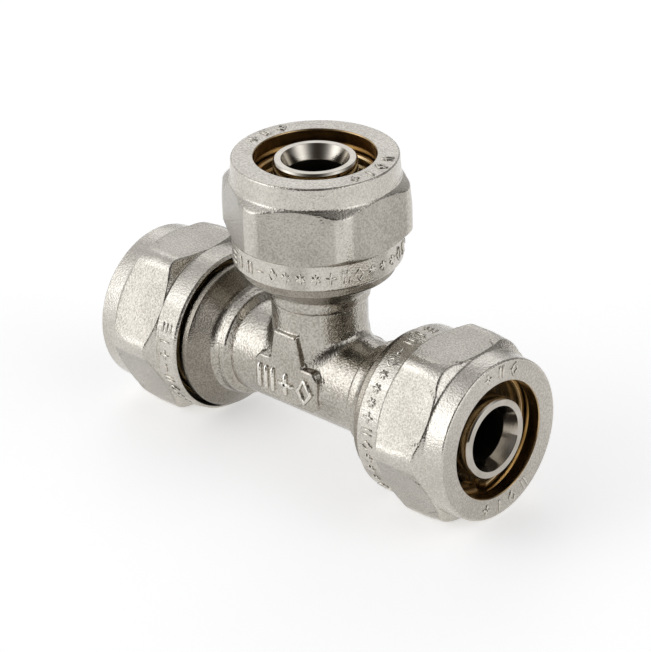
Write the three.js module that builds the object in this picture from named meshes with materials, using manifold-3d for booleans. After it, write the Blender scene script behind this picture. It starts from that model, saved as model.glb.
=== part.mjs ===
// Equal tee compression fitting for 16 x 2 mm multilayer pipe, in millimetres, +Z up.
//
// A forged body has three identical ports: two on the run, along X, and one on the branch, along +Z.
// Each port has a fixed tail that the pipe slides over, two O-rings in grooves on that tail, an
// insulating washer at its root, a split compression ring round the pipe and a hexagonal union nut
// on the port's M22 x 1.5 thread. The part stands on one flat of each run nut, with the origin on
// that surface straight below the point where the port axes meet.
//
// Everything on a port is drawn in the port's own frame: +Z runs out along the port axis and a
// height S is the distance from the point where the axes meet.
import * as THREE from "three";
import { mergeVertices } from "three/addons/utils/BufferGeometryUtils.js";
import Module from "manifold-3d";

// Driving dimensions
const PIPE_OUTER_R = 8; // the pipe is 16 mm outside and 12 mm inside
const PIPE_INNER_R = 6;
const PORT_LENGTH = 33; // from the crossing of the axes to a nut's end face
const NUT_LENGTH = 15.4;
const HEX_FLATS = 24; // wrench size
const THREAD_PITCH = 1.5;
const THREAD_MAJOR_R = 11;
const WATERWAY_R = 3.9;
const ARM_R = 6.8; // outside of the body between the ports

const SIDES = 24; // facets round every turned surface, and steps in one turn of thread
const AXIS_HEIGHT = HEX_FLATS / 2;
const NUT_REAR_S = PORT_LENGTH - NUT_LENGTH;

// Port stub on the body
const FLANGE_R = THREAD_MAJOR_R - 0.1;
const THREAD_CORE_R = THREAD_MAJOR_R - 0.92;
const THREAD_START_S = 19.65;
const THREAD_TURNS = 3.25;
const FLANGE_END_S = NUT_REAR_S - 0.3;
const STUB_END_S = 25;
const SOCKET_R = PIPE_OUTER_R + 0.4;
const SOCKET_FLOOR_S = 17.3;
const MOUTH_R = 9.65; // the stub's inner mouth opens to this radius for the compression ring

// Pipe tail
const TAIL_R = PIPE_INNER_R - 0.1;
const TAIL_TIP_S = PORT_LENGTH - 0.5;
const TAIL_TIP_INNER_R = 4.75;
const SEAL_GROOVE_R = 4.75;
const SEAL_GROOVE_WIDTH = 2;
const SEAL_CENTRES_S = { inner: 22.6, outer: 27.4 };
const SEAL_SECTION_R = 0.75;

// Nut
const NUT_FACE_R = 11.65;
const NUT_COLLAR_R = HEX_FLATS / 2 - 0.05;
const HEX_ENVELOPE_R = 14.2; // clear of the corners
const HEX_CORNER_RADIUS = 2.4;
const NUT_MOUTH_R = PIPE_OUTER_R + 0.5;
const NUT_COUNTERBORE_R = THREAD_MAJOR_R + 0.25;
const NUT_CREST_R = THREAD_CORE_R + 0.27;
const SEAT_START = { r: 10.15, s: 27 }; // the cone that presses on the compression ring
const SEAT_END = { r: 8.8, s: 30.9 };

// Compression ring and washer
const RING_BORE_R = PIPE_OUTER_R + 0.25;
const RING_REAR_S = 23.4;
const RING_FRONT_S = 29.9;
const RING_GROOVE_DEPTH = 0.25;
const RING_SLIT = 1.6;
const WASHER_THICKNESS = 1.5;
const WASHER_CLEARANCE = 0.15;

// The raised pad on the front and back of the body: an upright on a wide foot
const PAD_FACE_Y = 7.4;
const PAD_ROOT_Y = 3;
const PAD = { footHalf: 6, footLow: -2.5, footHigh: 3.5, postHalf: 3, topHalf: 2.1, top: 8.1, corner: 0.8 };

const wasm = await Module();
wasm.setup();

// Solids

function solidOf(geometry) {
  const bare = geometry.clone();
  bare.deleteAttribute("normal");
  bare.deleteAttribute("uv");
  const merged = mergeVertices(bare, 1e-4);
  return new wasm.Manifold(
    new wasm.Mesh({
      numProp: 3,
      vertProperties: new Float32Array(merged.attributes.position.array),
      triVerts: new Uint32Array(merged.index.array),
    }),
  );
}

function geometryOf(solid) {
  const mesh = solid.getMesh();
  const positions = new Float32Array(mesh.numVert * 3);
  for (let i = 0; i < mesh.numVert; i++) {
    positions.set(mesh.vertProperties.subarray(i * mesh.numProp, i * mesh.numProp + 3), i * 3);
  }
  return new THREE.BufferGeometry()
    .setAttribute("position", new THREE.BufferAttribute(positions, 3))
    .setIndex(new THREE.BufferAttribute(mesh.triVerts, 1));
}

// A profile of [radius, S] pairs turned about the port axis
function turned(profile) {
  const points = profile.map(([radius, s]) => new THREE.Vector2(radius, s));
  return new THREE.LatheGeometry(points, SIDES).rotateX(Math.PI / 2);
}

function rod(radius, fromS, toS) {
  return turned([
    [0, fromS],
    [radius, fromS],
    [radius, toS],
    [0, toS],
  ]);
}

// A right-hand thread ridge from fromS, with flanks at 30 degrees to the radius. Its first and last
// quarter turns sink below fadeR, so that it grows out of the surface there.
function threadRidge({ fromS, turns, innerR, crestR, crestHalf, fadeR }) {
  const steps = Math.round(turns * SIDES);
  const fadeSteps = SIDES / 4;
  const flankHalf = crestHalf + (crestR - innerR) * Math.tan(Math.PI / 6);
  const vertices = [];
  const faces = [];
  for (let i = 0; i <= steps; i++) {
    const share = Math.min(1, i / fadeSteps, (steps - i) / fadeSteps);
    const topR = THREE.MathUtils.lerp(fadeR, crestR, share);
    const angle = (i / SIDES) * 2 * Math.PI;
    const s = fromS + (i / SIDES) * THREAD_PITCH;
    const section = [
      [innerR, s - flankHalf],
      [topR, s - crestHalf],
      [topR, s + crestHalf],
      [innerR, s + flankHalf],
    ];
    for (const [radius, height] of section) {
      vertices.push(radius * Math.cos(angle), radius * Math.sin(angle), height);
    }
    if (i < steps) {
      for (let k = 0; k < 4; k++) {
        const a = 4 * i + k;
        const b = 4 * i + ((k + 1) % 4);
        faces.push(a, a + 4, b, b, a + 4, b + 4);
      }
    }
  }
  const last = 4 * steps;
  faces.push(0, 1, 2, 0, 2, 3, last, last + 2, last + 1, last, last + 3, last + 2);
  return new THREE.BufferGeometry()
    .setAttribute("position", new THREE.BufferAttribute(new Float32Array(vertices), 3))
    .setIndex(faces);
}

// Body

function sealGroove(centre) {
  const half = SEAL_GROOVE_WIDTH / 2;
  return [
    [TAIL_R, centre - half],
    [SEAL_GROOVE_R, centre - half],
    [SEAL_GROOVE_R, centre + half],
    [TAIL_R, centre + half],
  ];
}

// Half outline of one port of the body, from the crossing out along the outside, back down the
// socket to its floor, and out again along the tail. A bead of radius beadR runs behind the flange.
function armOutline(beadR) {
  const shoulder = [
    [0, -0.5],
    [ARM_R, -0.5],
    [ARM_R, 11.2],
    [beadR, 11.9],
    [beadR, 13.4],
    [8.1, 14.2],
    [10.5, 15.9],
    [FLANGE_R, 16.2],
    [FLANGE_R, FLANGE_END_S],
  ];
  const stub = [
    [THREAD_CORE_R, FLANGE_END_S],
    [THREAD_CORE_R, STUB_END_S - 0.15],
    [THREAD_CORE_R - 0.15, STUB_END_S],
    [MOUTH_R, STUB_END_S],
    [8.95, 22],
    [SOCKET_R, 21.5],
    [SOCKET_R, SOCKET_FLOOR_S],
  ];
  const tail = [
    [TAIL_R, SOCKET_FLOOR_S],
    ...sealGroove(SEAL_CENTRES_S.inner),
    ...sealGroove(SEAL_CENTRES_S.outer),
    [TAIL_R, TAIL_TIP_S - 0.3],
    [TAIL_R - 0.25, TAIL_TIP_S],
    [0, TAIL_TIP_S],
  ];
  return [...shoulder, ...stub, ...tail];
}

function armSolid(beadR) {
  const arm = solidOf(turned(armOutline(beadR)));
  const thread = threadRidge({
    fromS: THREAD_START_S,
    turns: THREAD_TURNS,
    innerR: THREAD_CORE_R - 0.2,
    crestR: THREAD_MAJOR_R,
    crestHalf: 0.09,
    fadeR: THREAD_CORE_R - 0.1,
  });
  return arm.add(solidOf(thread));
}

// The water's way through one port, with the countersunk mouth of the tail
function waterwaySolid() {
  return solidOf(
    turned([
      [0, 0],
      [WATERWAY_R, 0],
      [WATERWAY_R, TAIL_TIP_S - 2.1],
      [TAIL_TIP_INNER_R, TAIL_TIP_S],
      [TAIL_TIP_INNER_R, TAIL_TIP_S + 1],
      [0, TAIL_TIP_S + 1],
    ]),
  );
}

// The pad's outline, with its top corners rounded
function padShape() {
  const { footHalf, footLow, footHigh, postHalf, topHalf, top, corner } = PAD;
  const shape = new THREE.Shape();
  shape.moveTo(-footHalf, footLow);
  shape.lineTo(footHalf, footLow);
  shape.lineTo(footHalf, footHigh - corner);
  shape.quadraticCurveTo(footHalf, footHigh, footHalf - corner, footHigh);
  shape.lineTo(postHalf, footHigh);
  shape.lineTo(topHalf, top);
  shape.lineTo(-topHalf, top);
  shape.lineTo(-postHalf, footHigh);
  shape.lineTo(corner - footHalf, footHigh);
  shape.quadraticCurveTo(-footHalf, footHigh, -footHalf, footHigh - corner);
  shape.closePath();
  return shape;
}

// The front pad, extruded towards -Y from inside the body
function padSolid() {
  const depth = PAD_FACE_Y - PAD_ROOT_Y;
  const pad = new THREE.ExtrudeGeometry(padShape(), { depth, bevelEnabled: false, curveSegments: 2 });
  return solidOf(pad.rotateX(Math.PI / 2).translate(0, -PAD_ROOT_Y, 0));
}

const PORTS = {
  left: { turn: [0, -90, 0], beadR: 7.8 },
  right: { turn: [0, 90, 0], beadR: 7.8 },
  branch: { turn: [0, 0, 0], beadR: 7.2 },
};

function bodyGeometry() {
  const waterway = waterwaySolid();
  const pad = padSolid();
  let body = pad.add(pad.rotate([0, 0, 180]));
  for (const { turn, beadR } of Object.values(PORTS)) {
    body = body.add(armSolid(beadR).rotate(turn));
  }
  for (const { turn } of Object.values(PORTS)) {
    body = body.subtract(waterway.rotate(turn));
  }
  return geometryOf(body);
}

// Nut

// Hexagon with rounded corners, two of them on the Y axis
function hexShape() {
  const cornerR = HEX_FLATS / Math.sqrt(3);
  const arcCentreR = cornerR - (2 / Math.sqrt(3)) * HEX_CORNER_RADIUS;
  const shape = new THREE.Shape();
  for (let i = 0; i < 6; i++) {
    const middle = Math.PI / 6 + (i * Math.PI) / 3;
    const x = arcCentreR * Math.cos(middle);
    const y = arcCentreR * Math.sin(middle);
    shape.absarc(x, y, HEX_CORNER_RADIUS, middle - Math.PI / 6, middle + Math.PI / 6, false);
  }
  shape.closePath();
  return shape;
}

function nutEnvelope() {
  return turned([
    [0, NUT_REAR_S],
    [NUT_COLLAR_R - 0.3, NUT_REAR_S],
    [NUT_COLLAR_R, NUT_REAR_S + 0.3],
    [NUT_COLLAR_R, 21.5],
    [HEX_ENVELOPE_R, 23.05],
    [HEX_ENVELOPE_R, 28.3],
    [NUT_COLLAR_R - 0.1, 29.75],
    [NUT_FACE_R, PORT_LENGTH - 0.1],
    [NUT_FACE_R - 0.1, PORT_LENGTH],
    [0, PORT_LENGTH],
  ]);
}

function nutBore() {
  return turned([
    [0, NUT_REAR_S - 0.5],
    [NUT_COUNTERBORE_R, NUT_REAR_S - 0.5],
    [NUT_COUNTERBORE_R, 19],
    [NUT_CREST_R, 19.5],
    [NUT_CREST_R, 26.6],
    [SEAT_START.r, SEAT_START.s],
    [SEAT_END.r, SEAT_END.s],
    [NUT_MOUTH_R, SEAT_END.s + 0.2],
    [NUT_MOUTH_R, PORT_LENGTH - 0.3],
    [NUT_MOUTH_R + 0.3, PORT_LENGTH],
    [NUT_MOUTH_R + 0.3, PORT_LENGTH + 0.5],
    [0, PORT_LENGTH + 0.5],
  ]);
}

function nutGeometry() {
  const prism = new THREE.ExtrudeGeometry(hexShape(), {
    depth: NUT_LENGTH + 2,
    bevelEnabled: false,
    curveSegments: 3,
  }).translate(0, 0, NUT_REAR_S - 1);
  const thread = threadRidge({
    fromS: THREAD_START_S - THREAD_PITCH,
    turns: THREAD_TURNS + 2.25,
    innerR: NUT_CREST_R - 0.15,
    crestR: THREAD_MAJOR_R + 0.2,
    crestHalf: 0.13,
    fadeR: NUT_CREST_R - 0.1,
  });
  const blank = solidOf(prism).intersect(solidOf(nutEnvelope()));
  return geometryOf(blank.subtract(solidOf(nutBore())).subtract(solidOf(thread)));
}

// Compression ring, washer and seals

function ringGroove(frontS) {
  return [
    [RING_BORE_R, frontS],
    [RING_BORE_R + RING_GROOVE_DEPTH, frontS - 0.4],
    [RING_BORE_R, frontS - 0.8],
  ];
}

function ringGeometry() {
  const band = turned([
    [RING_BORE_R, RING_REAR_S],
    [8.75, RING_REAR_S],
    [9.6, 26.6],
    [9.85, 27.1],
    [8.88, RING_FRONT_S],
    [RING_BORE_R + 0.2, RING_FRONT_S],
    [RING_BORE_R, RING_FRONT_S - 0.3],
    ...ringGroove(28.9),
    ...ringGroove(27.2),
    ...ringGroove(25.5),
    [RING_BORE_R, RING_REAR_S],
  ]);
  const slit = new THREE.BoxGeometry(2 * THREAD_MAJOR_R, RING_SLIT, NUT_LENGTH).translate(
    THREAD_MAJOR_R,
    0,
    (RING_REAR_S + RING_FRONT_S) / 2,
  );
  return geometryOf(solidOf(band).subtract(solidOf(slit)));
}

function washerGeometry() {
  const rear = SOCKET_FLOOR_S + WASHER_CLEARANCE;
  const bore = TAIL_R + WASHER_CLEARANCE;
  const rim = SOCKET_R - WASHER_CLEARANCE;
  return turned([
    [bore, rear],
    [rim, rear],
    [rim, rear + WASHER_THICKNESS],
    [bore, rear + WASHER_THICKNESS],
    [bore, rear],
  ]);
}

function sealGeometry(centre) {
  const middleR = SEAL_GROOVE_R + SEAL_SECTION_R + 0.1;
  const sides = 6;
  const profile = [];
  for (let i = 0; i <= sides; i++) {
    const angle = (i / sides) * 2 * Math.PI;
    profile.push([middleR + SEAL_SECTION_R * Math.cos(angle), centre + SEAL_SECTION_R * Math.sin(angle)]);
  }
  return turned(profile);
}

// Materials and assembly

const nickel = new THREE.MeshStandardMaterial({ color: 0xb7b3aa, roughness: 0.38, metalness: 1 });
const brass = new THREE.MeshStandardMaterial({ color: 0xb08a45, roughness: 0.3, metalness: 1 });
const rubber = new THREE.MeshStandardMaterial({ color: 0x161616, roughness: 0.6, metalness: 0 });
const plastic = new THREE.MeshStandardMaterial({ color: 0xe9e6dc, roughness: 0.5, metalness: 0 });

function piece(name, geometry, material) {
  const mesh = new THREE.Mesh(geometry, material);
  mesh.name = name;
  return mesh;
}

const tee = new THREE.Group();
const crossing = new THREE.Group();
crossing.position.z = AXIS_HEIGHT;
tee.add(crossing);
crossing.add(piece("tee_body", bodyGeometry(), nickel));

const nut = nutGeometry();
const ring = ringGeometry();
const washer = washerGeometry();
for (const [port, { turn }] of Object.entries(PORTS)) {
  const group = new THREE.Group();
  group.rotation.set(...turn.map(THREE.MathUtils.degToRad));
  group.add(piece(`union_nut_${port}`, nut, nickel));
  group.add(piece(`compression_ring_${port}`, ring, brass));
  group.add(piece(`insulating_washer_${port}`, washer, plastic));
  for (const [place, centre] of Object.entries(SEAL_CENTRES_S)) {
    group.add(piece(`o_ring_${place}_${port}`, sealGeometry(centre), rubber));
  }
  crossing.add(group);
}

export default tee;
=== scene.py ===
# Equal tee compression fitting, as a studio shot: forged nickel-plated body, three union nuts,
# bare brass compression rings, rubber seals and plastic washers. Lengths are in millimetres in each
# port's own frame, whose +Z runs out along the port from the crossing of the axes, and turn into
# metres in the row frame when a piece is made. In a port's frame s is the distance along the port.
import math

import bpy
import numpy as np
from mathutils import Matrix, Vector


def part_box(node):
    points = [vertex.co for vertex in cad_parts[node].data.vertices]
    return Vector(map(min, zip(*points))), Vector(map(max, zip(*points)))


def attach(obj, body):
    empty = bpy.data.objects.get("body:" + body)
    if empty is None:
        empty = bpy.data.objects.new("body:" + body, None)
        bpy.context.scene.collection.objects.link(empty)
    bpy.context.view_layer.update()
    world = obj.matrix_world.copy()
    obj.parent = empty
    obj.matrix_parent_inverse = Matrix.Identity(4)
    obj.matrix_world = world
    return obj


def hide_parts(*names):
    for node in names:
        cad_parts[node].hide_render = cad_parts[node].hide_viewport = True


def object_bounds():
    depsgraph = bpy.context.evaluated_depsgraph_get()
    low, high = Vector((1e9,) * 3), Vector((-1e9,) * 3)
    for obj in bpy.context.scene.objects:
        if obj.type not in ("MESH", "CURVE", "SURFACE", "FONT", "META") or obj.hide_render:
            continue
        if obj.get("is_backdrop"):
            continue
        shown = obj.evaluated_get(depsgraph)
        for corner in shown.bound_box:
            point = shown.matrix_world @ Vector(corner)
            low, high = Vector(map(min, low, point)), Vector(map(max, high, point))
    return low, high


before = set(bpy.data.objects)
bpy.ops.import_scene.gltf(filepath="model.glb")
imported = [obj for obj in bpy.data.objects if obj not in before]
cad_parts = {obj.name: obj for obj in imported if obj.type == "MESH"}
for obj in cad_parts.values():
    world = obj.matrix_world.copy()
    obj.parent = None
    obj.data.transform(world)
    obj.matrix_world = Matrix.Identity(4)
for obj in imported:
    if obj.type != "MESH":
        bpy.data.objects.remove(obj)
cad_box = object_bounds()

MM = 0.001
NUT_LOW, NUT_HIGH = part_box("union_nut_right")
AXIS_HEIGHT = (NUT_LOW[2] + NUT_HIGH[2]) / 2 / MM
PORT_LENGTH = NUT_HIGH[0] / MM
NUT_REAR = NUT_LOW[0] / MM
HALF_FLATS = (NUT_HIGH[2] - NUT_LOW[2]) / 2 / MM

# Body, with one arm, bead, flange and threaded stub to each port
ARM_R = 6.8
ARM_START = 11.0
BEAD_R = {"right": 7.8, "left": 7.8, "branch": 7.2}
FLANGE_R = 10.9
FLANGE_END = 17.3
STUB_BORE_R = 8.4
WATERWAY_R = 3.9

# Pads: a foot with a tapering post on it, in the plane of the three axes
PAD_FACE = 7.4
FOOT_HALF_WIDTH = 6.0
FOOT_HALF_HEIGHT = 3.15
FOOT_MIDDLE = 0.35
FOOT_CORNER = 1.5
POST_FROM = 3.5
POST_TOP = 8.1
POST_HALF_WIDTH = 3.0
POST_TOP_HALF_WIDTH = 2.1

# Tail inside each port, with its seals and barbs
TAIL_R = 5.9
TAIL_TIP = PORT_LENGTH - 0.5
TAIL_MOUTH_R = 4.75
SOCKET_FLOOR = 17.3
GROOVE_R = 4.75
SEALS = {"inner": 22.6, "outer": 27.4}
SEAL_RING_R = 5.6
SEAL_SECTION_R = 0.78
BARBS = (24.1, 24.8, 25.5)

# Threads of 60 degrees: the half widths are those of the flat crest and of the flat groove bottom
PITCH = 1.5
FLANK = math.sqrt(3)
THREAD_START = 19.65
THREAD_TURNS = 3.25
THREAD_CORE_R = 10.08
THREAD_CREST_R = 11.0
THREAD_FADE = 0.1
CREST_HALF_WIDTH = 0.09
GROOVE_HALF_WIDTH = 0.13
GROOVE_DEPTH = 0.95

# Union nut, whose corners are worn rounder towards the front
NUT_CREST_R = 10.35
NUT_TURNED_R = 14.2
NUT_SKIN_R = 11.4
COLLAR_R = HALF_FLATS - 0.05
FACE_R = 11.65
HEX_CORNER = 2.4
WORN_CORNER = 4.6
WEAR_FROM = 25.5
WEAR_LENGTH = 4.5

PORTS = {
    "right": Matrix.Rotation(math.pi / 2, 4, "Y"),
    "left": Matrix.Rotation(-math.pi / 2, 4, "Y"),
    "branch": Matrix.Identity(4),
}


# ---------------------------------------------------------------------------------------------
# Mesh making


def soft_min(a, b, reach):
    """The smaller of a and b, rounded where they are within reach of each other."""
    share = np.clip(0.5 + 0.5 * (b - a) / reach, 0, 1)
    return b + (a - b) * share - reach * share * (1 - share)


def bend(corners, bevels, steps):
    """The arc of points that rounds each corner of a closed outline over its bevel length."""
    count = len(corners)
    arcs = []
    for i in range(count):
        here, before, after = corners[i], corners[i - 1], corners[(i + 1) % count]
        back, ahead = before - here, after - here
        reach = min(bevels[i], 0.45 * np.linalg.norm(back), 0.45 * np.linalg.norm(ahead))
        start = here + back / np.linalg.norm(back) * reach
        end = here + ahead / np.linalg.norm(ahead) * reach
        t = np.linspace(0, 1, steps)[:, None]
        arcs.append((1 - t) ** 2 * start + 2 * t * (1 - t) * here + t**2 * end)
    return arcs


def outline(blocks, steps=5, margin=0.05):
    """A closed outline from blocks of (finish, spacing, [(radius, s, bevel), ...]). Each stretch has
    the finish and the largest spacing of the block its first corner is in, and a point close to both
    its ends, so that shading stays flat along it. Returns the points and the finish after each."""
    corners, bevels, finishes, spacings = [], [], [], []
    for finish, spacing, points in blocks:
        for radius, s, bevel in points:
            corners.append(np.array([radius, s], float))
            bevels.append(bevel)
            finishes.append(finish)
            spacings.append(spacing)
    arcs = bend(corners, bevels, steps)
    half = steps // 2
    points, tags = [], []
    for i, arc in enumerate(arcs):
        points.extend(arc)
        tags.extend([finishes[i - 1]] * half + [finishes[i]] * (steps - half))
        start, end = arc[-1], arcs[(i + 1) % len(arcs)][0]
        length = np.linalg.norm(end - start)
        if length < 4 * margin:
            continue
        inner = length - 2 * margin
        cuts = max(1, math.ceil(inner / spacings[i]))
        for k in range(cuts + 1):
            points.append(start + (end - start) * (margin + inner * k / cuts) / length)
            tags.append(finishes[i])
    return np.array(points), tags


def revolve(blocks, sides, shape=None, slit=0.0, polish=None):
    """Turns an outline about the port axis. shape(radius, s, angle) can change the radius, a slit of
    that width leaves a gap on the port's own +X side, and polish(radius, s, angle) says how worn and
    bright a place is. The UV map has turns one way and millimetres along the outline the other."""
    path, tags = outline(blocks)
    radius, s = path[:, 0:1], path[:, 1:2]
    turn = np.arange(sides + 1 if slit else sides) / sides * 2 * np.pi
    angle = np.broadcast_to(turn, (len(path), len(turn)))
    if slit:
        edge = np.arcsin(slit / 2 / radius)
        angle = edge + turn / (2 * np.pi) * (2 * np.pi - 2 * edge)
    if shape:
        radius = shape(radius, s, angle)
    grid = np.stack([radius * np.cos(angle), radius * np.sin(angle), s + 0 * angle], -1)

    rows, columns = angle.shape
    i = np.arange(rows)[:, None]
    j = np.arange(columns - 1 if slit else columns)[None, :]
    below, right = (i + 1) % rows * columns, (j + 1) % columns
    faces = np.stack([i * columns + j, i * columns + right, below + right, below + j], -1)

    steps = np.linalg.norm(np.roll(path, -1, 0) - path, axis=1)
    run = np.concatenate([[0], np.cumsum(steps[:-1])])
    zero = 0 * (i + j)
    u = np.stack([j + zero, j + 1 + zero, j + 1 + zero, j + zero], -1) / sides
    start, end = run[i] + zero, (run + steps)[i] + zero
    v = np.stack([start, start, end, end], -1)

    shell = {
        "points": grid.reshape(-1, 3),
        "faces": faces.reshape(-1, 4).tolist(),
        "uv": np.stack([u, v], -1).reshape(-1, 2),
        "tags": [tag for tag in tags for _ in range(j.size)],
    }
    if polish:
        shell["polish"] = polish(radius, s + 0 * angle, angle).ravel()
    if slit:
        first = [k * columns for k in range(rows)]
        last = [k * columns + columns - 1 for k in reversed(range(rows))]
        shell["faces"] += [first, last]
        shell["uv"] = np.concatenate([shell["uv"], path, path[::-1]])
        shell["tags"] += [tags[0], tags[0]]
    return shell


# Across a raised stroke: the share of its width from the middle, and of its height
STROKE = [(-0.5, -0.06), (-0.4, 0.55), (-0.25, 0.95), (0.25, 0.95), (0.4, 0.55), (0.5, -0.06)]
STROKE_SINK = 0.06
STROKE_TIP = 0.45
STROKE_POLISH = 1.4


def unit(vectors):
    return vectors / np.linalg.norm(vectors, axis=1)[:, None]


def ridge(points, width, height, place, closed=False):
    """A raised rounded stroke along points in (u, v), on the surface that place(u, v, height) gives."""
    points = np.array(points, float)
    if not closed:
        along = points[-1] - points[0]
        along = along / np.linalg.norm(along) * width / 2
        points = np.concatenate([[points[0] - along], points, [points[-1] + along]])
    count, wide = len(points), len(STROKE)
    ahead = np.roll(points, -1, 0) - points
    behind = points - np.roll(points, 1, 0)
    if not closed:
        ahead[-1], behind[0] = behind[-1], ahead[0]
    tangent = unit(unit(ahead) + unit(behind))
    normal = np.stack([-tangent[:, 1], tangent[:, 0]], -1)
    sections = []
    for k in range(count):
        tip = not closed and k in (0, count - 1)
        for across, up in STROKE:
            spot = points[k] + normal[k] * across * width * (STROKE_TIP if tip else 1)
            rise = min(up, 0.0) - STROKE_SINK if tip else up
            sections.append(place(spot[0], spot[1], height * rise))
    faces = []
    for k in range(count if closed else count - 1):
        this, after = k * wide, (k + 1) % count * wide
        for m in range(wide):
            n = (m + 1) % wide
            faces.append([after + m, after + n, this + n, this + m])
    if not closed:
        faces += [list(range(wide)), [(count - 1) * wide + m for m in reversed(range(wide))]]
    return {
        "points": np.array(sections),
        "faces": faces,
        "uv": np.zeros((sum(len(face) for face in faces), 2)),
        "tags": ["relief"] * len(faces),
        "polish": np.full(len(sections), STROKE_POLISH),
    }


def skin(field, low, high, step):
    """The surface where field(points) is zero, found on a grid and then pulled on to it."""
    axes = [np.arange(low[k], high[k] + step, step) for k in range(3)]
    grid = np.stack(np.meshgrid(*axes, indexing="ij"), -1)
    value = field(grid)
    cells_each_way = [n - 1 for n in value.shape]
    total = np.zeros(cells_each_way + [3])
    hits = np.zeros(cells_each_way)
    crossings = []
    for axis in range(3):
        u, v = [k for k in range(3) if k != axis]
        a = np.take(value, range(value.shape[axis] - 1), axis)
        b = np.take(value, range(1, value.shape[axis]), axis)
        cut = (a < 0) != (b < 0)
        for other in (u, v):
            edge = [slice(None)] * 3
            edge[other] = [0, -1]
            cut[tuple(edge)] = False
        cells = np.argwhere(cut)
        share = a[cut] / (a[cut] - b[cut])
        where = np.stack([axes[k][cells[:, k]] for k in range(3)], -1)
        where[:, axis] += share * step
        around = []
        for du, dv in ((-1, -1), (0, -1), (0, 0), (-1, 0)):
            cell = cells.copy()
            cell[:, u] += du
            cell[:, v] += dv
            np.add.at(total, tuple(cell.T), where)
            np.add.at(hits, tuple(cell.T), 1)
            around.append(cell)
        crossings.append((around, (a[cut] < 0) != (axis == 1)))

    used = hits > 0
    index = np.full(hits.shape, -1)
    index[used] = np.arange(used.sum())
    points = total[used] / hits[used][:, None]
    faces = []
    for around, forward in crossings:
        quad = np.stack([index[tuple(cell.T)] for cell in around], -1)
        faces.append(np.where(forward[:, None], quad, quad[:, ::-1]))
    faces = np.concatenate(faces)

    nudge = 0.01
    for _ in range(3):
        slope = [(field(points + d) - field(points - d)) / (2 * nudge) for d in np.eye(3) * nudge]
        slope = np.stack(slope, -1)
        points = points - slope * (field(points) / np.maximum((slope**2).sum(-1), 0.1))[:, None]
    return {
        "points": points,
        "faces": faces.tolist(),
        "uv": np.zeros((faces.size, 2)),
        "tags": ["forged"] * len(faces),
    }


def piece(name, shells, finishes, body, port=None, stands_for=()):
    """One object from shells drawn in a port's frame, or about the crossing if there is no port."""
    points = np.concatenate([shell["points"] for shell in shells])
    faces, tags, polish, offset = [], [], [], 0
    for shell in shells:
        count = len(shell["points"])
        faces += [[corner + offset for corner in face] for face in shell["faces"]]
        tags += shell["tags"]
        polish.append(shell.get("polish", np.zeros(count)))
        offset += count
    mesh = bpy.data.meshes.new(name)
    mesh.from_pydata(points.tolist(), [], faces)
    uv = np.concatenate([shell["uv"] for shell in shells]).astype(np.float32)
    mesh.uv_layers.new(name="turning").data.foreach_set("uv", uv.ravel())
    polish = np.concatenate(polish).astype(np.float32)
    mesh.attributes.new("polish", "FLOAT", "POINT").data.foreach_set("value", polish)
    names = list(finishes)
    mesh.polygons.foreach_set("material_index", [names.index(tag) for tag in tags])
    for material in finishes.values():
        mesh.materials.append(material)
    mesh.transform(PORTS[port] if port else Matrix.Identity(4))
    mesh.transform(Matrix.Translation((0, 0, AXIS_HEIGHT)))
    mesh.transform(Matrix.Scale(MM, 4))
    mesh.shade_smooth()
    mesh.update()
    thing = bpy.data.objects.new(name, mesh)
    bpy.context.collection.objects.link(thing)
    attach(thing, body)
    if stands_for:
        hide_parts(*stands_for)


# ---------------------------------------------------------------------------------------------
# Materials


def graph(name):
    """A new node material, with its tree and its shader."""
    material = bpy.data.materials.new(name)
    material.use_nodes = True
    tree = material.node_tree
    return material, tree, tree.nodes["Principled BSDF"]


def add(tree, kind, settings=(), **inputs):
    """A node with its settings, and its inputs set to values or linked to sockets. An input goes by
    its name, or as i0, i1 and so on by its place."""
    node = tree.nodes.new(kind)
    for key, value in dict(settings).items():
        setattr(node, key, value)
    for key, value in inputs.items():
        by_place = key[0] == "i" and key[1:].isdigit()
        socket = node.inputs[int(key[1:])] if by_place else node.inputs[key]
        if isinstance(value, bpy.types.NodeSocket):
            tree.links.new(value, socket)
        else:
            socket.default_value = value
    return node


def maths(tree, kind, a, b):
    return add(tree, "ShaderNodeMath", {"operation": kind}, i0=a, i1=b).outputs[0]


def millimetres(tree):
    """Object coordinates in millimetres."""
    place = add(tree, "ShaderNodeTexCoord").outputs["Object"]
    return add(tree, "ShaderNodeMapping", i0=place, Scale=(1000, 1000, 1000)).outputs[0]


def noise(tree, where, size, detail=2.0, rough=0.5):
    """Noise whose features are about size millimetres across, from 0 to 1."""
    inputs = {"Vector": where, "Scale": 1 / size, "Detail": detail, "Roughness": rough}
    return add(tree, "ShaderNodeTexNoise", **inputs).outputs["Fac"]


def remap(tree, value, low, high, to_low=0.0, to_high=1.0):
    """value with low taken to to_low and high to to_high, kept between them."""
    inputs = {"Value": value, "i1": low, "i2": high, "i3": to_low, "i4": to_high}
    return add(tree, "ShaderNodeMapRange", {"clamp": True}, **inputs).outputs[0]


def tint(tree, factor, dark, light):
    """A colour from dark to light as factor goes from 0 to 1, and on past light above that."""
    node = add(tree, "ShaderNodeMix", {"data_type": "RGBA"})
    node.clamp_factor = False
    node.inputs[6].default_value = (*dark, 1)
    node.inputs[7].default_value = (*light, 1)
    tree.links.new(factor, node.inputs[0])
    return node.outputs[2]


def bump(tree, height, depth, base=None):
    """Surface relief of that depth in millimetres."""
    node = add(tree, "ShaderNodeBump", Height=height, Distance=depth * MM, Strength=1.0)
    if base:
        tree.links.new(base, node.inputs["Normal"])
    return node.outputs[0]


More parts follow.
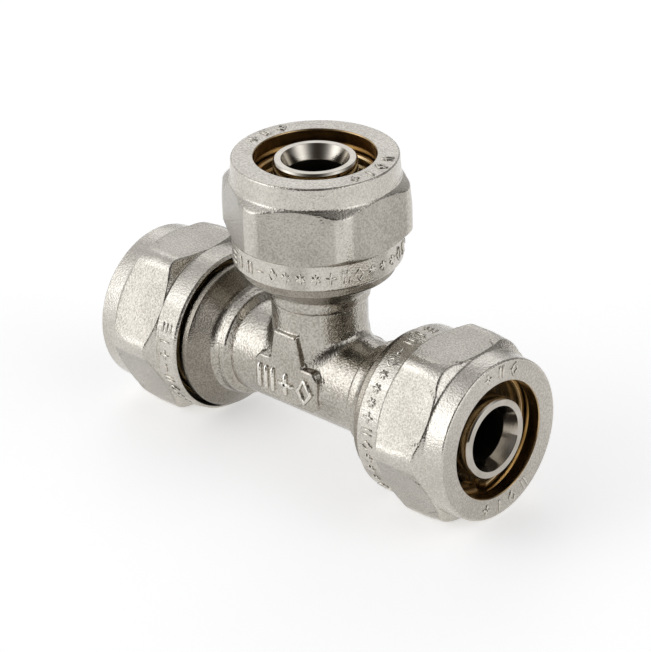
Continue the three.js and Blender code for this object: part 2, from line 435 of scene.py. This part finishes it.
def plated(name, dark, light, roughness, grain, depth, swell_depth, pits):
    """Nickel plate over a forged and blasted surface: a fine grain, a slow swell and sparse pits.
    Places with the polish attribute are brighter and smoother."""
    material, tree, shader = graph(name)
    where = millimetres(tree)
    fine = noise(tree, where, grain, 1)
    swell = noise(tree, where, 6 * grain)
    cloud = noise(tree, where, 6.0, 3)
    speck = remap(tree, noise(tree, where, 2.4 * grain, 1), 0.68, 0.76)
    polish = add(tree, "ShaderNodeAttribute", {"attribute_name": "polish"}).outputs["Fac"]
    shade = maths(tree, "ADD", maths(tree, "MULTIPLY", cloud, 0.35), maths(tree, "MULTIPLY", fine, 0.65))
    shade = maths(tree, "SUBTRACT", remap(tree, shade, 0.38, 0.62), maths(tree, "MULTIPLY", speck, pits))
    shade = maths(tree, "ADD", shade, maths(tree, "MULTIPLY", polish, 0.9))
    tree.links.new(tint(tree, shade, dark, light), shader.inputs["Base Color"])
    rough = maths(tree, "MULTIPLY", remap(tree, cloud, 0.0, 1.0, 0.85, 1.15), roughness)
    rough = maths(tree, "MULTIPLY", rough, remap(tree, polish, 0.0, 1.0, 1.0, 0.8))
    tree.links.new(rough, shader.inputs["Roughness"])
    relief = bump(tree, swell, swell_depth)
    relief = bump(tree, fine, depth, relief)
    relief = bump(tree, maths(tree, "SUBTRACT", 1.0, speck), 0.02 * pits, relief)
    tree.links.new(relief, shader.inputs["Normal"])
    shader.inputs["Metallic"].default_value = 1.0
    return material


def turned(name, dark, light, roughness, depth):
    """A lathe-cut metal surface, with fine tool marks round the axis and faint stains."""
    material, tree, shader = graph(name)
    along = add(tree, "ShaderNodeUVMap", {"uv_map": "turning"}).outputs[0]
    marks = add(tree, "ShaderNodeMapping", i0=along, Scale=(1.5, 14, 1)).outputs[0]
    lines = noise(tree, marks, 1.0, 4, 0.7)
    where = millimetres(tree)
    cloud = noise(tree, where, 2.5, 3)
    shade = maths(tree, "ADD", maths(tree, "MULTIPLY", cloud, 0.5), maths(tree, "MULTIPLY", lines, 0.5))
    shade = remap(tree, shade, 0.35, 0.65)
    tree.links.new(tint(tree, shade, dark, light), shader.inputs["Base Color"])
    rough = remap(tree, lines, 0.0, 1.0, roughness * 0.7, roughness * 1.3)
    tree.links.new(rough, shader.inputs["Roughness"])
    relief = bump(tree, noise(tree, where, 0.2), depth * 0.4)
    tree.links.new(bump(tree, lines, depth, relief), shader.inputs["Normal"])
    shader.inputs["Metallic"].default_value = 1.0
    return material


def moulded(name, dark, light, roughness, depth):
    """A matt moulded surface with a fine skin texture."""
    material, tree, shader = graph(name)
    where = millimetres(tree)
    fine = noise(tree, where, 0.12)
    cloud = noise(tree, where, 1.5, 3)
    tree.links.new(tint(tree, cloud, dark, light), shader.inputs["Base Color"])
    rough = remap(tree, fine, 0.0, 1.0, roughness * 0.85, roughness * 1.15)
    tree.links.new(rough, shader.inputs["Roughness"])
    tree.links.new(bump(tree, fine, depth), shader.inputs["Normal"])
    return material


NUT_PLATE = plated(
    "nut_plate",
    dark=(0.325, 0.304, 0.265),
    light=(0.485, 0.457, 0.407),
    roughness=0.26,
    grain=0.27,
    depth=0.058,
    swell_depth=0.03,
    pits=0.35,
)
BODY_PLATE = plated(
    "body_plate",
    dark=(0.33, 0.303, 0.26),
    light=(0.53, 0.50, 0.446),
    roughness=0.17,
    grain=0.31,
    depth=0.056,
    swell_depth=0.06,
    pits=0.5,
)
# Darker plate for the flange cone and rim just behind each nut: painted shade under the nut.
FLANGE_PAINTED_SHADE_PLATE = plated(
    "flange_painted_shade_plate",
    dark=(0.20, 0.179, 0.149),
    light=(0.35, 0.320, 0.273),
    roughness=0.22,
    grain=0.22,
    depth=0.035,
    swell_depth=0.02,
    pits=0.3,
)
BRIGHT_PLATE = turned("bright_plate", (0.39, 0.357, 0.308), (0.56, 0.525, 0.47), 0.1, 0.004)
# Near-black metal: painted shade for the gaps and recesses it lines (the nut's step and counterbore, the
# flange's rear face, the waterway).
BORE_PAINTED_SHADE = turned("bore_painted_shade", (0.035, 0.031, 0.026), (0.07, 0.063, 0.052), 0.45, 0.006)
CUT_BRASS = turned("cut_brass", (0.58, 0.42, 0.22), (0.92, 0.72, 0.43), 0.28, 0.006)
# Darkened brass for the lip and wall of each nut's mouth: painted shade inside the mouth.
MOUTH_BRASS_PAINTED_SHADE = turned("mouth_brass_painted_shade", (0.22, 0.152, 0.08), (0.60, 0.43, 0.23), 0.16, 0.008)
RUBBER = moulded("seal_rubber", (0.012, 0.012, 0.012), (0.03, 0.03, 0.03), 0.55, 0.004)
PLASTIC = moulded("washer_plastic", (0.74, 0.73, 0.69), (0.86, 0.85, 0.82), 0.42, 0.003)


# ---------------------------------------------------------------------------------------------
# Union nuts


def thread_share(s, angle, start, turns):
    """A place's distance from the centre line of a thread's ridge or groove, and how full the thread
    is there, from 0 at its faded ends to 1."""
    phase = (s - start) / PITCH - angle / (2 * np.pi)
    nearest = np.round(phase)
    done = nearest + angle / (2 * np.pi)
    share = np.clip(np.minimum(done / 0.25, (turns - done) / 0.25), 0, 1)
    return np.abs(phase - nearest) * PITCH, share


def hexagon(s, angle):
    """The radius of the nut's hexagon, whose corners get rounder towards the front. A flat faces the
    port's own +X."""
    off = np.abs((angle + np.pi / 6) % (np.pi / 3) - np.pi / 6)
    wear = np.clip((s - WEAR_FROM) / WEAR_LENGTH, 0, 1)
    wear = wear**2 * (3 - 2 * wear)
    rounding = HEX_CORNER + (WORN_CORNER - HEX_CORNER) * wear
    centre = (HALF_FLATS - rounding) / math.cos(math.pi / 6)
    turn = np.pi / 6 - off
    flat = HALF_FLATS / np.cos(off)
    inside = np.maximum(rounding**2 - (centre * np.sin(turn)) ** 2, 0)
    corner = centre * np.cos(turn) + np.sqrt(inside)
    return np.where(centre * np.sin(turn) < rounding * math.sin(math.pi / 6), corner, flat)


def nut_shape(radius, s, angle):
    """Cuts the hexagon from the outside of the turned blank, and the thread into its bore."""
    outer = soft_min(radius, hexagon(s, angle), np.where(s < 22, 0.12, 0.3))
    apart, share = thread_share(s, angle, THREAD_START - PITCH, THREAD_TURNS + 2.25)
    bottom = NUT_CREST_R - THREAD_FADE + GROOVE_DEPTH * share
    grooved = np.maximum(radius, bottom - np.maximum(apart - GROOVE_HALF_WIDTH, 0) * FLANK)
    threaded = (radius > NUT_CREST_R - 0.01) & (s < 26.5)
    return np.where(radius > NUT_SKIN_R, outer, np.where(threaded, grooved, radius))


def nut_polish(radius, s, angle):
    """Most on the turned surfaces and on a strip along each corner, less on the face, and none on
    the flats."""
    turned_off = np.clip((hexagon(s, angle) - radius - 0.05) / 0.15, 0, 1)
    turned_off = np.where(radius < FACE_R - 0.3, 0.6, 1.1 * turned_off)
    from_corner = np.abs(angle % (np.pi / 3) - np.pi / 6) * radius
    strip = np.clip((1.55 - from_corner) / 0.5, 0, 1) * np.clip((radius - 12.55) / 0.3, 0, 1)
    return np.maximum(turned_off, strip)


def nut(port):
    collar = [
        ("plate", 0.5, [(FACE_R, NUT_REAR, 0.1), (COLLAR_R, NUT_REAR + 0.3, 0.15)]),
    ]
    hexagonal = [
        ("plate", 0.09, [(COLLAR_R, 21.5, 0.2), (NUT_TURNED_R, 23.05, 0.2)]),
        ("plate", 0.6, [(NUT_TURNED_R, 23.1, 0.05)]),
        ("plate", 0.09, [(NUT_TURNED_R, 28.3, 0.2), (11.87, 29.75, 0.25)]),
    ]
    face = [
        ("plate", 0.6, [(11.68, PORT_LENGTH - 0.16, 0.15), (11.48, PORT_LENGTH, 0.15)]),
    ]
    # The mouth's lip and wall take the darkened brass: painted shade inside the mouth.
    mouth = [
        ("stained", 0.6, [(8.62, PORT_LENGTH, 0.06), (8.5, PORT_LENGTH - 0.15, 0.06)]),
        ("stained", 0.6, [(8.5, 31.1, 0.05)]),
        ("brass", 0.6, [(8.8, 30.9, 0.05), (10.15, 27, 0.1)]),
    ]
    # From the thread's rear end through the counterbore the nut is near-black metal: painted shade in the
    # gap behind the nut.
    thread = [
        ("brass", 0.1, [(NUT_CREST_R, 26.6, 0.05)]),
        ("bore", 0.1, [(NUT_CREST_R, 19.5, 0.05)]),
    ]
    counterbore = [
        ("bore", 0.6, [(11.25, 19, 0.1), (11.25, NUT_REAR + 0.35, 0.05)]),
        ("plate", 0.6, [(11.5, NUT_REAR, 0.05)]),
    ]
    blocks = collar + hexagonal + face + mouth + thread + counterbore
    shell = revolve(blocks, 324, nut_shape, polish=nut_polish)
    finishes = {"plate": NUT_PLATE, "stained": MOUTH_BRASS_PAINTED_SHADE, "brass": CUT_BRASS, "bore": BORE_PAINTED_SHADE}
    name = f"nut_{port}"
    piece(name, [shell], finishes, name, port, [f"union_nut_{port}"])


# ---------------------------------------------------------------------------------------------
# Body


def male_thread(radius, s, angle):
    """Raises the thread on the stub's core."""
    apart, share = thread_share(s, angle, THREAD_START, THREAD_TURNS)
    low = THREAD_CORE_R - THREAD_FADE
    top = low + (THREAD_CREST_R - low) * share
    ridged = np.maximum(THREAD_CORE_R, top - np.maximum(apart - CREST_HALF_WIDTH, 0) * FLANK)
    threaded = (abs(radius - THREAD_CORE_R) < 0.01) & (s > 19)
    return np.where(threaded, ridged, radius)


def seal_groove(s):
    bottom = [(GROOVE_R, s - 1, 0.1), (GROOVE_R, s + 1, 0.1)]
    return [("bright", 0.4, [(TAIL_R, s - 1, 0.08), *bottom, (TAIL_R, s + 1, 0.08)])]


def port_stub(port):
    """The end of an arm: its bead, flange, threaded stub, pipe socket, tail and waterway."""
    bead = BEAD_R[port]
    neck = [
        ("plate", 0.4, [(ARM_R - 0.3, ARM_START, 0.05), (ARM_R - 0.3, ARM_START + 0.15, 0.1)]),
        ("plate", 0.4, [(bead, 11.9, 0.35), (bead, 13.4, 0.45)]),
    ]
    # The flange cone and rim take the darker plate: painted shade under the nut.
    flange = [
        ("dull", 0.3, [(8.1, 14.2, 0.6), (10.5, 15.9, 0.2), (FLANGE_R, 16.25, 0.12)]),
        # The flange's rear face is near-black metal: painted shade in the gap inside the nut.
        ("bore", 0.4, [(FLANGE_R, FLANGE_END, 0.08)]),
    ]
    stub = [
        ("bright", 0.1, [(THREAD_CORE_R, FLANGE_END, 0.1), (THREAD_CORE_R, 24.85, 0.05)]),
        ("bright", 0.4, [(9.93, 25, 0.05), (9.65, 25, 0.05), (8.95, 22, 0.1), (STUB_BORE_R, 21.5, 0.05)]),
        ("bright", 0.4, [(STUB_BORE_R, SOCKET_FLOOR, 0.2), (TAIL_R, SOCKET_FLOOR, 0.2)]),
    ]
    barbs = [("bright", 0.4, [(TAIL_R - 0.25, s, 0.03), (TAIL_R, s + 0.5, 0.06)]) for s in BARBS]
    tail = seal_groove(SEALS["inner"]) + barbs + seal_groove(SEALS["outer"])
    tip = [
        ("bright", 0.4, [(TAIL_R, TAIL_TIP - 0.35, 0.15), (TAIL_R - 0.25, TAIL_TIP, 0.06)]),
        ("bright", 0.3, [(TAIL_MOUTH_R, TAIL_TIP, 0.06)]),
    ]
    # The waterway is near-black metal: painted shade down the bore.
    waterway = [
        ("bore", 0.6, [(WATERWAY_R, 30.4, 0.1), (WATERWAY_R, ARM_START, 0.05)]),
    ]
    shell = revolve(neck + flange + stub + tail + tip + waterway, 168, male_thread)
    finishes = {"plate": BODY_PLATE, "dull": FLANGE_PAINTED_SHADE_PLATE, "bright": BRIGHT_PLATE, "bore": BORE_PAINTED_SHADE}
    piece(f"stub_{port}", [shell], finishes, "fitting", port, ["tee_body"])


def pad_field(x, y, z):
    """Less than zero inside the two pads, which are one block through the body."""
    across = np.abs(x)
    up = np.abs(z - FOOT_MIDDLE)
    foot = np.maximum(across - FOOT_HALF_WIDTH, up - FOOT_HALF_HEIGHT)
    past_side = np.maximum(across - (FOOT_HALF_WIDTH - FOOT_CORNER), 0)
    past_end = np.maximum(up - (FOOT_HALF_HEIGHT - FOOT_CORNER), 0)
    foot = np.maximum(foot, np.hypot(past_side, past_end) - FOOT_CORNER)
    lean = (POST_HALF_WIDTH - POST_TOP_HALF_WIDTH) / (POST_TOP - POST_FROM)
    side = (across - POST_HALF_WIDTH + (z - POST_FROM) * lean) / math.hypot(1, lean)
    post = np.maximum(np.maximum(side, z - POST_TOP), -z)
    return -soft_min(-soft_min(foot, post, 0.5), PAD_FACE - np.abs(y), 0.45)


def casting():
    """The middle of the forging: run and neck tubes, a pad on each side, and the waterways."""
    reach = ARM_START + 0.6

    def field(points):
        x, y, z = points[..., 0], points[..., 1], points[..., 2]
        run = np.maximum(np.hypot(y, z) - ARM_R, np.abs(x) - reach)
        neck = np.maximum(np.maximum(np.hypot(x, y) - ARM_R, z - reach), -z)
        solid = soft_min(run, neck, 1.6)
        solid = soft_min(solid, pad_field(x, y, z), 0.25)
        bores = np.minimum(np.hypot(y, z), np.where(z > 0, np.hypot(x, y), 99)) - WATERWAY_R - 0.1
        return np.maximum(solid, -bores)

    shell = skin(field, (-12.23, -8.17, -7.63), (12.2, 8.2, 12.2), 0.2)
    finishes = {"forged": BODY_PLATE}
    piece("casting", [shell], finishes, "fitting", None, ["tee_body"])


# ---------------------------------------------------------------------------------------------
# Rings, washers and seals


def compression_ring(port):
    """Split brass ring, tapered outside and grooved inside to bite the pipe."""
    outside = [(8.75, 23.4, 0.1), (9.6, 26.6, 0.1), (9.85, 27.1, 0.1), (8.88, 29.9, 0.06)]
    front = [(8.45, 29.9, 0.05), (8.25, 29.6, 0.05)]
    teeth = []
    for s in (28.9, 27.2, 25.5):
        teeth += [(8.25, s, 0.03), (8.5, s - 0.4, 0.03), (8.25, s - 0.8, 0.03)]
    blocks = [("brass", 0.3, outside + front + teeth + [(8.25, 23.4, 0.08)])]
    shell = revolve(blocks, 180, slit=1.6)
    stands_for = [f"compression_ring_{port}"]
    name = f"ring_{port}"
    piece(name, [shell], {"brass": CUT_BRASS}, name, port, stands_for)


def washer(port):
    """Plastic washer on the floor of the pipe socket."""
    inner, outer, rear, front = 6.05, 8.25, 17.45, 18.95
    corners = [(outer, rear), (outer, front), (inner, front), (inner, rear)]
    shell = revolve([("plastic", 0.3, [(radius, s, 0.12) for radius, s in corners])], 120)
    stands_for = [f"insulating_washer_{port}"]
    piece(f"washer_{port}", [shell], {"plastic": PLASTIC}, "fitting", port, stands_for)


def seal(port, which):
    """O-ring in its groove on the tail."""
    section = []
    for turn in np.linspace(0, 2 * np.pi, 9)[:-1][::-1]:
        radius = SEAL_RING_R - SEAL_SECTION_R * math.sin(turn)
        section.append((radius, SEALS[which] - SEAL_SECTION_R * math.cos(turn), 0.29))
    shell = revolve([("rubber", 0.3, section)], 96)
    name = f"seal_{which}_{port}"
    stands_for = [f"o_ring_{which}_{port}"]
    piece(name, [shell], {"rubber": RUBBER}, "fitting", port, stands_for)


# ---------------------------------------------------------------------------------------------
# Raised generic marks

# Each motif's strokes, as points in a square of side 1 about the middle and whether they close
MOTIFS = {
    "lozenge": [([(0, -0.5), (0.36, 0), (0, 0.5), (-0.36, 0)], True)],
    "plus": [([(-0.36, 0), (0.36, 0)], False), ([(0, -0.42), (0, 0.42)], False)],
    "bar": [([(0, -0.46), (0, 0.46)], False)],
    "bars": [([(x, -0.46), (x, 0.46)], False) for x in (-0.2, 0.2)],
    "dash": [([(-0.3, 0), (0.3, 0)], False)],
    "steps": [([(-0.3, y), (0.3, y)], False) for y in (-0.42, 0, 0.42)],
    "slats": [([(x, -0.46), (x, 0.46)], False) for x in (-0.36, 0, 0.36)],
    "star": [([(x, -y), (-x, y)], False) for x, y in ((0, 0.46), (0.38, 0.22), (0.38, -0.22))],
}

# Round each collar from its starting angle, and on the face about each angle, all in degrees
COLLAR_ROW = ("steps", "bar", "bars", "dash", "lozenge", "star", "star", "star", "plus", "bars", "lozenge")
COLLAR_ROW += ("star", "star", "star", "lozenge", "bars", "dash", "plus", "bar", "steps")
COLLAR_START = {"right": -187, "left": 100, "branch": -118}
COLLAR_STEP = 10
FACE_MARKS = {176: ("plus", "bars", "lozenge"), 8: ("bars", "lozenge", "bar", "plus")}
FACE_MARKS_R = 10.2
PAD_MARKS = ("slats", "plus", "lozenge")


def mark_row(motifs, size, gap, stroke, height, place):
    """A row of motifs centred on u = 0, each size tall, gap apart."""
    shells = []
    for k, motif in enumerate(motifs):
        middle = (k - (len(motifs) - 1) / 2) * gap
        for points, closed in MOTIFS[motif]:
            spots = [(middle + x * size, y * size) for x, y in points]
            shells.append(ridge(spots, stroke, height, place, closed))
    return shells


def collar_place(turn):
    """Places (u, v, height) about a point on the collar, u round it and v along the port."""

    def place(u, v, h):
        angle = turn + u / COLLAR_R
        return ((COLLAR_R + h) * math.cos(angle), (COLLAR_R + h) * math.sin(angle), NUT_REAR + 2.0 + v)

    return place


def face_place(turn):
    """Places (u, v, height) about a point on the nut's face, u round it and v outwards."""

    def place(u, v, h):
        angle = turn - u / FACE_MARKS_R
        radius = FACE_MARKS_R + v
        return (radius * math.cos(angle), radius * math.sin(angle), PORT_LENGTH + h)

    return place


def pad_place(side):
    """Places (u, v, height) about a point on a pad, u across it and v up."""

    def place(u, v, h):
        return (-side * u, side * (PAD_FACE + h), 0.2 + v)

    return place


def nut_marks(port):
    """Marks on the face and round the collar, but none where it would dip below the floor."""
    shells = []
    for k, motif in enumerate(COLLAR_ROW):
        place = collar_place(math.radians(COLLAR_START[port] + COLLAR_STEP * k))
        top = PORTS[port] @ Vector(place(0, 0, 0.25))
        if top.z < -AXIS_HEIGHT:
            continue
        size = 1.35 if motif == "star" else 1.8
        shells += mark_row((motif,), size, 0, 0.42, 0.2, place)
    for turn, motifs in FACE_MARKS.items():
        shells += mark_row(motifs, 1.7, 2.7, 0.42, 0.16, face_place(math.radians(turn)))
    name, body = f"marks_{port}", f"nut_{port}"
    piece(name, shells, {"relief": NUT_PLATE}, body, port)


def pad_marks():
    shells = []
    for side in (-1, 1):
        shells += mark_row(PAD_MARKS, 3.5, 3.7, 0.8, 0.42, pad_place(side))
    piece("marks_pads", shells, {"relief": BODY_PLATE}, "fitting")


casting()
pad_marks()
for port_name in PORTS:
    port_stub(port_name)
    nut(port_name)
    nut_marks(port_name)
    compression_ring(port_name)
    washer(port_name)
    for seal_name in SEALS:
        seal(port_name, seal_name)


# ---------------------------------------------------------------------------------------------
# Studio

FLOOR_HALF = 2.0
FLOOR_GLOW = 0.5

# Soft windows of light all round except behind the camera: azimuth from the front towards the
# right and elevation, both in degrees, and strength
WINDOWS = [
    (90, 6, 1.5),
    (180, 6, 0.6),
    (270, 6, 1.1),
    (330, 6, 1.85),
    (105, 30, 1.25),
    (225, 30, 1.4),
    (315, 30, 1.7),
    (345, 30, 0.35),
    (135, 54, 0.7),
    (270, 54, 0.5),
    (315, 54, 0.5),
]
WINDOW_FOCUS = 14.0
WINDOW_COLOUR = (0.98, 0.995, 1.02)
AMBIENT_COLOUR = (0.05, 0.042, 0.035)

# Where the camera stands as seen from a point that many millimetres above the middle of the floor,
# its turn about its line of sight, and how far it is shifted to its own right and up
CAMERA_AZIMUTH = 44.275
CAMERA_ELEVATION = 26.993
CAMERA_DISTANCE = 492.5
CAMERA_TARGET = 12
CAMERA_ROLL = -1.816
CAMERA_RIGHT = 0.501
CAMERA_UP = 5.777
CAMERA_LENS = 192.42


def toward(azimuth, elevation):
    """The direction to a place at that azimuth from the front and that elevation, in degrees."""
    az, el = math.radians(azimuth), math.radians(elevation)
    return (math.sin(az) * math.cos(el), -math.cos(az) * math.cos(el), math.sin(el))


def floor():
    mesh = bpy.data.meshes.new("floor")
    corners = [(x * FLOOR_HALF, y * FLOOR_HALF, 0) for x, y in ((-1, -1), (1, -1), (1, 1), (-1, 1))]
    mesh.from_pydata(corners, [], [(0, 1, 2, 3)])
    material, tree, shader = graph("white_floor")
    cloud = noise(tree, millimetres(tree), 60)
    shade = tint(tree, cloud, (0.75, 0.75, 0.75), (0.78, 0.78, 0.78))
    tree.links.new(shade, shader.inputs["Base Color"])
    shader.inputs["Roughness"].default_value = 0.6
    shader.inputs["Emission Color"].default_value = (1, 1, 1, 1)
    shader.inputs["Emission Strength"].default_value = FLOOR_GLOW
    mesh.materials.append(material)
    thing = bpy.data.objects.new("floor", mesh)
    bpy.context.collection.objects.link(thing)
    thing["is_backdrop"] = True


def sky():
    """A world made of soft round windows over a faint warm ambient."""
    world = bpy.data.worlds.new("studio")
    bpy.context.scene.world = world
    world.use_nodes = True
    tree = world.node_tree
    direction = add(tree, "ShaderNodeTexCoord").outputs["Generated"]
    total = 0.0
    for azimuth, elevation, strength in WINDOWS:
        window = {"i0": direction, "i1": toward(azimuth, elevation)}
        facing = add(tree, "ShaderNodeVectorMath", {"operation": "DOT_PRODUCT"}, **window)
        falloff = maths(tree, "SUBTRACT", facing.outputs["Value"], 1.0)
        falloff = maths(tree, "MULTIPLY", falloff, WINDOW_FOCUS)
        glow = maths(tree, "MULTIPLY", maths(tree, "POWER", math.e, falloff), strength)
        total = maths(tree, "ADD", glow, total)
    light = add(tree, "ShaderNodeVectorMath", {"operation": "SCALE"}, i0=WINDOW_COLOUR, Scale=total)
    sum_of = {"i0": light.outputs[0], "i1": AMBIENT_COLOUR}
    both = add(tree, "ShaderNodeVectorMath", {"operation": "ADD"}, **sum_of)
    tree.links.new(both.outputs[0], tree.nodes["Background"].inputs["Color"])


def camera():
    azimuth, roll = math.radians(CAMERA_AZIMUTH), math.radians(CAMERA_ROLL)
    back = Vector(toward(CAMERA_AZIMUTH, CAMERA_ELEVATION))
    level = Vector((math.cos(azimuth), math.sin(azimuth), 0))
    right = math.cos(roll) * level + math.sin(roll) * back.cross(level)
    up = back.cross(right)
    spot = Vector((0, 0, CAMERA_TARGET)) + CAMERA_DISTANCE * back
    spot = (spot + CAMERA_RIGHT * right + CAMERA_UP * up) * MM
    lens = bpy.data.cameras.new("camera")
    lens.lens = CAMERA_LENS
    lens.sensor_width = 36
    thing = bpy.data.objects.new("camera", lens)
    turn = Matrix((right, up, back)).transposed().to_4x4()
    thing.matrix_world = Matrix.Translation(spot) @ turn
    bpy.context.collection.objects.link(thing)
    bpy.context.scene.camera = thing


floor()
sky()
camera()
bpy.context.scene.view_settings.view_transform = "Standard"

# The CAD box, then the visual model's box, each as its low and high corner in metres
boxes = [[[float(v) for v in corner] for corner in box] for box in (cad_box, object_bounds())]
